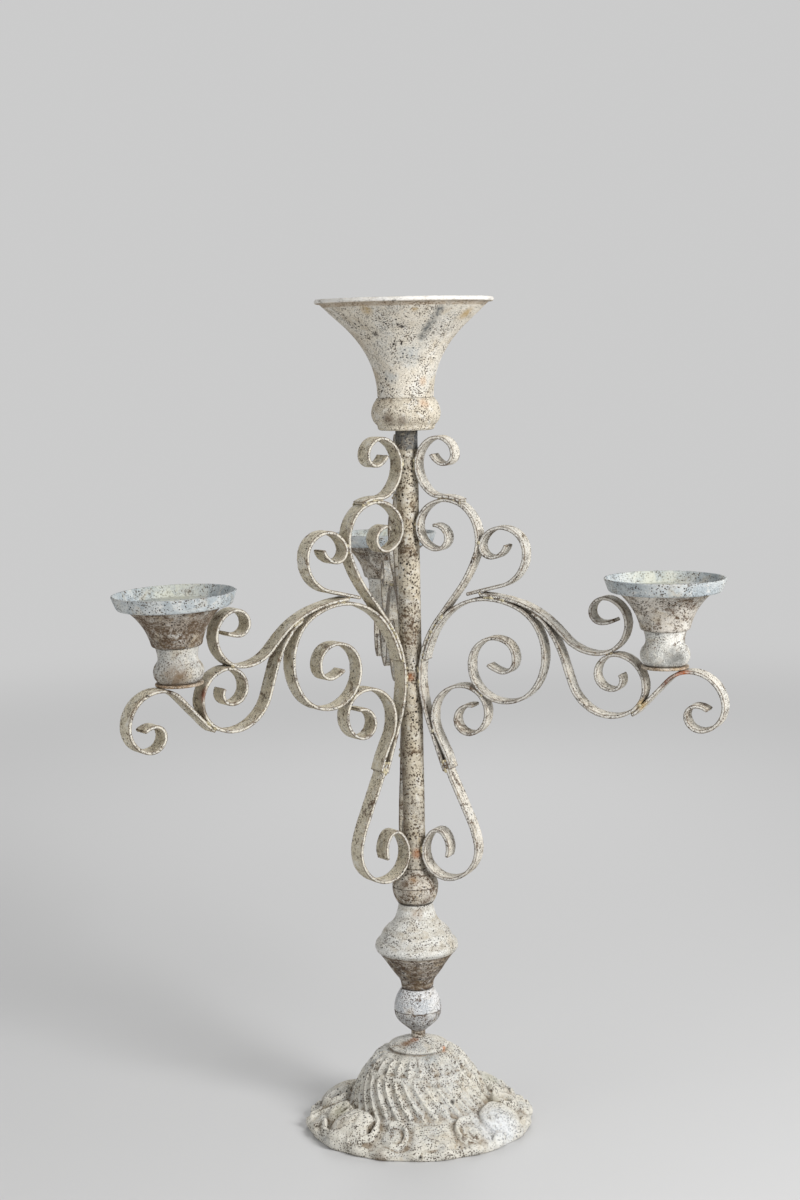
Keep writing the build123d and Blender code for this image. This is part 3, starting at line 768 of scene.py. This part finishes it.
def arm_welds(side, azimuth, material):
    """An arm's lumps of weld, run together into one skin."""
    across, outward = arm_axes(azimuth)
    name = side + "_welds"
    mesh = bmesh.new()
    for place, radius in lap_welds(side, across) + stem_welds(side, across, outward):
        squash = Vector(rng.uniform(0.8, 1.25, 3))
        matrix = Matrix.Translation(place) @ Matrix.Diagonal((*squash, 1.0))
        bmesh.ops.create_icosphere(mesh, subdivisions=2, radius=radius * MM, matrix=matrix)
    data = bpy.data.meshes.new(name)
    mesh.to_mesh(data)
    mesh.free()
    piece = new_piece(name, data, material, "whitewashed_bar")
    new_skin(piece, WELD_GRID)
    roughen(piece, PITTING, 0.5)
    return piece


def collar(name, radius, height, thick, material, slot):
    """An uneven fillet of paint and solder round a seam."""
    theta = np.linspace(0, 2 * pi, STEPS_ROUND, endpoint=False)
    lumps = sum(np.cos(theta * k + rng.uniform(0, 2 * pi)) for k in (5, 11, 19, 33)) / 4
    wide = thick * (1 + 0.25 * lumps)
    rows = []
    for around in np.linspace(0, 2 * pi, STEPS_ACROSS, endpoint=False):
        r = radius + wide * cos(around)
        rows.append(np.stack([r * np.cos(theta), r * np.sin(theta), height + wide * sin(around)], 1) * MM)
    piece = new_piece(name, ring_mesh(name, rows), material, slot)
    roughen(piece, PITTING, 0.25)
    return piece


# --- Pieces ---

BAR, SHEET, FIXING, CAST = "whitewashed_bar", "whitewashed_sheet", "fixing_steel", "cast_base"

# each arm's own tones, from the weather and from painted shade: the left and back arms, turned away from the
# key lamp, are painted darker than the right one
TONES = {
    "left": {
        "bar": (0.61, 0.555, 0.43), "bar_patch": (0.50, 0.455, 0.35),
        "bell": (0.34, 0.29, 0.235), "bell_shade": 1.0, "neck": (0.50, 0.48, 0.43),
    },
    "right": {
        "bar": (0.66, 0.62, 0.54), "bar_patch": (0.50, 0.485, 0.44),
        "bell": (0.56, 0.52, 0.46), "bell_shade": 0.45, "neck": (0.68, 0.66, 0.61),
    },
    "back": {
        "bar": (0.50, 0.46, 0.38), "bar_patch": (0.36, 0.36, 0.34),
        "bell": (0.46, 0.42, 0.36), "bell_shade": 0.7, "neck": (0.68, 0.66, 0.61),
    },
}
# rust where a cup's foot was welded, and down the bar from it
BAR_STAINS = {
    "left": [
        ((-0.153, -0.096, 0.346), 9, (0.15, 0.05, 0.025), 1.0),
        ((-0.150, -0.094, 0.334), 7, BROWN, 0.8),
    ],
    "right": [
        ((0.175, -0.109, 0.349), 8, (0.50, 0.13, 0.03), 1.0),
        ((0.165, -0.103, 0.345), 9, (0.16, 0.05, 0.02), 1.0),
        ((0.150, -0.094, 0.327), 7, OCHRE, 0.8),
        ((0.120, -0.077, 0.355), 5, MOSS, 0.7),
    ],
    "back": [],
}
# dirt and painted shade low on a cup's neck, under its bulge
NECK_DIRT_AND_SHADE = {
    "left": [((-0.169, -0.112, 0.359), 15, (0.20, 0.14, 0.085), 0.9)],
    "right": [((0.171, -0.114, 0.361), 13, (0.13, 0.13, 0.12), 0.85)],
    "back": [],
}
PAN_INSIDE = (0.60, 0.60, 0.49)
TO_PAN_BACK = Vector((0, 0.03, 0.003))      # from a pan's middle to the inner side of its rear rim


def spot(radius, azimuth, height):
    """A point on the object, from millimetres and degrees round the stem."""
    turn = radians(azimuth)
    return (radius * cos(turn) * MM, radius * sin(turn) * MM, height * MM)


def marks(*rows):
    """Stains, painted shade and painted highlights from rows of (radius, azimuth, height, size, tint,
    strength), in millimetres and degrees.
    """
    return [(spot(*row[:3]), *row[3:]) for row in rows]


for side, azimuth in ARMS.items():
    tone = TONES[side]
    across = tuple(arm_axes(azimuth)[0])
    bar_paint = whitewash(
        "bar_paint_" + side, tone["bar"], tone["bar_patch"], worn=0.62, rust=0.5, chips=0.5, shade=0.3,
        seed=azimuth * 0.01, side=across, stains_and_painted_light=BAR_STAINS[side],
    )
    for name in STRAPS:
        softened(side + "_" + name, bar_paint, BAR, grid=0.55, dents=0.35, pitting=0.16)
    weld_paint = whitewash(
        "weld_paint_" + side, (0.56, 0.50, 0.34), (0.40, 0.36, 0.22), worn=0.6, rust=0.8, chips=0.4,
        seed=azimuth * 0.013,
    )
    arm_welds(side, azimuth, weld_paint)
    pan_low, pan_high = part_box(side + "_cup_pan")
    inside = (tuple((pan_low + pan_high) / 2 + TO_PAN_BACK), 30, PAN_INSIDE, 0.75)
    pan = whitewash(
        side + "_pan_paint", BLUE_GREY, (0.56, 0.58, 0.57), worn=0.45, rust=0.3, chips=0.35, grit=1.5,
        seed=1 + azimuth * 0.02, stains_and_painted_light=[inside],
    )
    bell = whitewash(
        side + "_bell_paint", tone["bell"], scaled(tone["bell"], 0.45), worn=0.6, rust=0.5, chips=0.5,
        specks=0.75, grit=1.7, shade=tone["bell_shade"], seed=2 + azimuth * 0.02,
    )
    neck = whitewash(
        side + "_neck_paint", tone["neck"], GREY, worn=0.45, rust=0.4, chips=0.4, shade=0.4,
        seed=3 + azimuth * 0.02, stains_and_painted_light=NECK_DIRT_AND_SHADE[side],
    )
    foot_disc = whitewash(
        side + "_disc_paint", (0.50, 0.43, 0.34), (0.30, 0.20, 0.12), worn=0.6, rust=0.7,
        seed=4 + azimuth * 0.02,
    )
    rivet = dull_steel(side + "_rivet_steel", azimuth)
    softened(side + "_cup_pan", pan, SHEET, grid=0.6, dents=0.3, pitting=0.14)
    softened(side + "_cup_bell", bell, SHEET, grid=0.6, dents=0.3, pitting=0.16)
    softened(side + "_cup_neck", neck, SHEET, grid=0.6, dents=0.3, pitting=0.14)
    softened(side + "_cup_foot_disc", foot_disc, SHEET, grid=0.5, dents=0.2, pitting=0.16)
    softened(side + "_cup_rivet", rivet, FIXING, grid=0.3, dents=0.1, pitting=0.05)

# the stem: brown painted shade down its left side, rust at the ends, blue-grey paint under the cup
stem_rust_and_shade = marks(
    # painted shade: a strip of brown spots down the stem's left side, away from the key lamp
    *((8, 185, height, 9.5, BROWN, 0.75) for height in range(212, 340, 14)),
    (8, 262, 338, 5, RUST, 0.9),
    (8, 275, 207, 6, RUST, 0.8),
)
stem_paint = whitewash(
    "stem_paint", (0.51, 0.455, 0.355), (0.38, 0.35, 0.295), worn=0.6, rust=0.5, chips=1.0, specks=1.0,
    shade=0.5, grit=1.9, seed=11, bands=((0.503, 0.517, (0.075, 0.082, 0.09), 0.85),), stains_and_painted_light=stem_rust_and_shade,
)
softened("stem_tube", stem_paint, BAR, grid=0.6, dents=0.35, pitting=0.28)

# the top cup: a grey smear, big chips, ochre under the lip, blue-grey clouds and a brown spot, brown painted
# shade on its left side, a white lip
smear = ((54, 291, 602), (49, 290, 598), (44, 289, 593), (40, 287, 588), (36, 285, 583))
cup_stains_and_shade = marks(
    *((*place, 6.0, (0.13, 0.135, 0.13), 1.0) for place in smear),
    (38, 232, 585, 3.6, SOOT, 1.0),
    (42, 262, 590, 2.6, SOOT, 1.0),
    (49, 233, 597, 2.4, SOOT, 1.0),
    (38, 296, 585, 2.2, SOOT, 1.0),
    (32, 252, 578, 2.0, SOOT, 1.0),
    (54, 236, 602, 7, OCHRE, 0.8),
    (54, 272, 602, 4, OCHRE, 0.9),
    (50, 322, 599, 9, OCHRE, 0.85),
    (27, 273, 569, 14, BLUE_GREY, 0.5),
    (23, 237, 555, 8, BLUE_GREY, 0.5),
    (22, 300, 551, 5, (0.55, 0.36, 0.22), 0.6),
    # painted shade: brown on the cup's left side, which is turned away from the key lamp
    (35, 190, 581, 17, (0.38, 0.29, 0.18), 0.55),
    (22, 190, 555, 9, (0.42, 0.33, 0.22), 0.5),
)
lip_bands = ((0.6076, 0.611, (0.84, 0.82, 0.78), 0.9), (0.6045, 0.6064, (0.30, 0.20, 0.11), 0.6))
cup_paint = whitewash(
    "top_cup_paint", (0.65, 0.60, 0.51), (0.55, 0.53, 0.48), worn=0.35, rust=0.35, chips=0.85, specks=0.85,
    seed=13, bands=lip_bands, stains_and_painted_light=cup_stains_and_shade,
)
softened("top_cup", cup_paint, SHEET, grid=0.75, dents=0.3, pitting=0.2)
foot_stains = marks(
    (25, 233, 524, 8, BROWN, 0.85),
    (25, 257, 523, 7, BROWN, 0.7),
    (22, 299, 535, 6, (0.55, 0.34, 0.20), 0.65),
)
foot_paint = whitewash(
    "cup_foot_paint", (0.60, 0.55, 0.45), (0.48, 0.42, 0.33), worn=0.45, rust=0.45, chips=0.5, specks=0.8,
    seed=17, stains_and_painted_light=foot_stains,
)
softened("top_cup_foot", foot_paint, SHEET, grid=0.65, dents=0.3, pitting=0.2)
collar("cup_seam", 20.2, 538.4, 0.95, foot_paint, SHEET)

# the turned pieces of the column
shoulder = whitewash(
    "shoulder_paint", (0.66, 0.655, 0.62), (0.58, 0.56, 0.50), worn=0.3, rust=0.3, chips=0.5, specks=0.8,
    rings=8.5, seed=19, stains_and_painted_light=marks((14, 268, 163, 6, (0.30, 0.19, 0.10), 0.7)),
)
underside = whitewash(
    "underside_paint", (0.40, 0.36, 0.315), (0.11, 0.085, 0.065), worn=0.9, rust=0.7, chips=1.0, specks=1.0,
    shade=0.8, grit=1.7, rings=4.6, seed=23,
)
bead_paint = whitewash(
    "bead_paint", (0.66, 0.655, 0.65), (0.48, 0.50, 0.52), worn=0.4, rust=0.3, chips=0.6, specks=0.8,
    shade=0.25, seed=29,
)
# the bead's lower half: its upper half's paint made darker as painted shade, with more wear, chips and brown
# patches
bead_low_shaded = whitewash(
    "low_bead_shaded_paint", (0.54, 0.535, 0.53), (0.36, 0.36, 0.36), worn=0.7, rust=0.4, chips=0.9, specks=1.0,
    shade=0.65, grit=1.5, seed=30,
)
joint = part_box("upper_bead_bottom")[0].z
stained_marks = marks(
    (15, 258, 190, 6, (0.27, 0.15, 0.06), 0.9),
    (16, 234, 186, 5, BROWN, 0.8),
    (15, 300, 174, 6, (0.20, 0.15, 0.11), 0.6),
)
stained = whitewash(
    "stained_bead_paint", (0.52, 0.475, 0.405), (0.36, 0.33, 0.28), worn=0.75, rust=0.6, chips=0.6,
    specks=0.9, shade=0.6, grit=1.5, seed=31, bands=((joint - 0.001, joint + 0.0016, SOOT, 0.9),),
    stains_and_painted_light=stained_marks,
)
softened("baluster_top", shoulder, SHEET, grid=0.65, dents=0.3, pitting=0.18)
softened("baluster_bottom", underside, SHEET, grid=0.65, dents=0.3, pitting=0.2)
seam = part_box("baluster_bottom")[1]
collar("baluster_seam", seam.x / MM - 0.7, seam.z / MM, 0.9, shoulder, SHEET)
softened("lower_bead_top", bead_paint, SHEET, grid=0.6, dents=0.25, pitting=0.16)
softened("lower_bead_bottom", bead_low_shaded, SHEET, grid=0.6, dents=0.25, pitting=0.16)
softened("upper_bead_top", stained, SHEET, grid=0.6, dents=0.25, pitting=0.16)
softened("upper_bead_bottom", stained, SHEET, grid=0.6, dents=0.25, pitting=0.16)
softened("column_spacer", stained, BAR, grid=0.4, dents=0.15, pitting=0.1)

steel = dull_steel("fixing_steel", 3.0)
for node in ("base_washer", "base_nut", "top_washer", "top_nut", "tie_rod"):
    bevelled(node, steel, FIXING)

# the base: rust round the rod, moss and dirt between dome and rim, a painted highlight in bluish white on the
# right front, a few big chips
base_stains_and_highlight = marks(
    (7, 239, 65, 5, RUST, 0.9),
    (13, 222, 64, 7, (0.20, 0.10, 0.04), 0.85),
    (22, 324, 60, 3.2, (0.62, 0.24, 0.09), 1.0),
    (24, 228, 58, 7, (0.24, 0.23, 0.21), 0.6),
    (25, 284, 57, 9, BLUE_GREY, 0.6),
    (75, 132, 9, 16, (0.20, 0.18, 0.11), 0.75),
    (61, 222, 14, 7, BROWN, 0.9),
    (62, 28, 14, 13, MOSS, 0.7),
    (68, 10, 14, 9, (0.36, 0.29, 0.21), 0.6),
    (62, 331, 15, 6, BROWN, 0.7),
    # painted highlight: bluish white on the right front of the rim, on the side of the key lamp
    (72, 316, 10, 25, (0.80, 0.83, 0.86), 0.65),
    (62, 196, 18, 14, (0.27, 0.25, 0.15), 0.6),
    (57, 340, 20, 8, (0.30, 0.27, 0.18), 0.6),
    (79, 243, 3, 8, (0.25, 0.17, 0.10), 0.6),
    (62, 232, 15, 3, SOOT, 1.0),
    (79, 264, 4, 2.5, SOOT, 1.0),
    (47, 295, 30, 3, SOOT, 1.0),
    (36, 220, 49, 3.5, SOOT, 0.9),
    (66, 306, 14, 2.5, SOOT, 1.0),
)
base_paint = whitewash(
    "base_paint", (0.62, 0.595, 0.525), (0.50, 0.50, 0.48), worn=0.38, rust=0.5, chips=0.6, specks=0.95,
    shade=0.15, grit=1.45, seed=37, hollows=True, stains_and_painted_light=base_stains_and_highlight,
)
base = new_piece("carved_base", base_mesh(), base_paint, CAST, "base_casting")
roughen(base, DENTS, 0.5)
roughen(base, PITTING, 0.3)


# --- Floor, light and camera ---

BACKDROP = (0.60, 0.60, 0.60)
AMBIENT = 0.42
FLOOR_RADIUS = 9.0
FADE_START, FADE_END = 0.5, 2.6         # the floor turns into the backdrop between these distances
CAMERA_DISTANCE, CAMERA_HEIGHT = 1.4896, 0.576
YAW, PITCH, ROLL, TURN = (radians(angle) for angle in (-0.27, 6.99, -1.18, -5.86))
LENS, SENSOR = 62.1, 36                 # mm


def floor():
    """A pale floor that fades into the backdrop well away from the part."""
    mesh = bpy.data.meshes.new("floor")
    edit = bmesh.new()
    bmesh.ops.create_circle(edit, cap_ends=True, segments=96, radius=FLOOR_RADIUS)
    edit.to_mesh(mesh)
    edit.free()
    plane = bpy.data.objects.new("floor", mesh)
    bpy.context.scene.collection.objects.link(plane)
    paint = Paint("floor")
    paint.finish(BACKDROP, 0.9)
    distance = paint.nodes.new("ShaderNodeVectorMath")
    distance.operation = "LENGTH"
    paint.links.new(paint.coords, distance.inputs[0])
    far = paint.fade(distance.outputs["Value"], FADE_START, FADE_END)
    glow = paint.nodes.new("ShaderNodeEmission")
    glow.inputs[0].default_value = BACKDROP + (1.0,)
    blend = paint.nodes.new("ShaderNodeMixShader")
    paint.links.new(far, blend.inputs[0])
    paint.links.new(paint.shader.outputs[0], blend.inputs[1])
    paint.links.new(glow.outputs[0], blend.inputs[2])
    paint.links.new(blend.outputs[0], paint.out.inputs[0])
    mesh.materials.append(paint.material)


def world():
    """White light from all round, and the backdrop's grey where the camera or a reflection sees the sky."""
    sky = bpy.data.worlds.new("studio")
    bpy.context.scene.world = sky
    sky.use_nodes = True
    nodes, links = sky.node_tree.nodes, sky.node_tree.links
    nodes.clear()
    out = nodes.new("ShaderNodeOutputWorld")
    ambient = nodes.new("ShaderNodeBackground")
    ambient.inputs[0].default_value = (1.0, 1.0, 1.0, 1.0)
    ambient.inputs[1].default_value = AMBIENT
    backdrop = nodes.new("ShaderNodeBackground")
    backdrop.inputs[0].default_value = BACKDROP + (1.0,)
    path = nodes.new("ShaderNodeLightPath")
    either = nodes.new("ShaderNodeMath")
    any_of = nodes.new("ShaderNodeMath")
    either.operation = any_of.operation = "MAXIMUM"
    blend = nodes.new("ShaderNodeMixShader")
    links.new(path.outputs["Is Camera Ray"], either.inputs[0])
    links.new(path.outputs["Is Glossy Ray"], either.inputs[1])
    links.new(either.outputs[0], any_of.inputs[0])
    links.new(path.outputs["Is Transmission Ray"], any_of.inputs[1])
    links.new(any_of.outputs[0], blend.inputs[0])
    links.new(ambient.outputs[0], blend.inputs[1])
    links.new(backdrop.outputs[0], blend.inputs[2])
    links.new(blend.outputs[0], out.inputs[0])


def softbox(name, place, target, size, power):
    """A round lamp of this size in metres and power in watts, turned to its target."""
    light = bpy.data.lights.new(name, "AREA")
    light.shape = "DISK"
    light.size = size
    light.energy = power
    lamp = bpy.data.objects.new(name, light)
    bpy.context.scene.collection.objects.link(lamp)
    lamp.location = place
    lamp.rotation_euler = (Vector(target) - Vector(place)).to_track_quat("-Z", "Y").to_euler()


def camera():
    """Stands a little left of the front, looking slightly down."""
    ahead, right, up = Vector((sin(YAW), cos(YAW), 0)), Vector((cos(YAW), -sin(YAW), 0)), Vector((0, 0, 1))
    ahead, up = cos(PITCH) * ahead - sin(PITCH) * up, cos(PITCH) * up + sin(PITCH) * ahead
    right, up = cos(ROLL) * right + sin(ROLL) * up, -sin(ROLL) * right + cos(ROLL) * up
    axes = Matrix((right, up, -ahead)).transposed().to_4x4()
    place = Matrix.Translation((0, -CAMERA_DISTANCE, CAMERA_HEIGHT))
    data = bpy.data.cameras.new("camera")
    data.sensor_width = SENSOR
    data.lens = LENS
    view = bpy.data.objects.new("camera", data)
    bpy.context.scene.collection.objects.link(view)
    view.matrix_world = Matrix.Rotation(TURN, 4, "Z") @ place @ axes
    bpy.context.scene.camera = view


floor()
world()
softbox("key", (1.0, -1.2, 1.05), (0, 0, 0.3), 0.75, 29)
softbox("fill", (-1.3, -0.8, 0.7), (0, 0, 0.3), 1.2, 3.5)
softbox("back", (0.2, 1.5, 1.1), (0, 0, 0.35), 1.0, 9)
camera()
bpy.context.scene.view_settings.view_transform = "Standard"
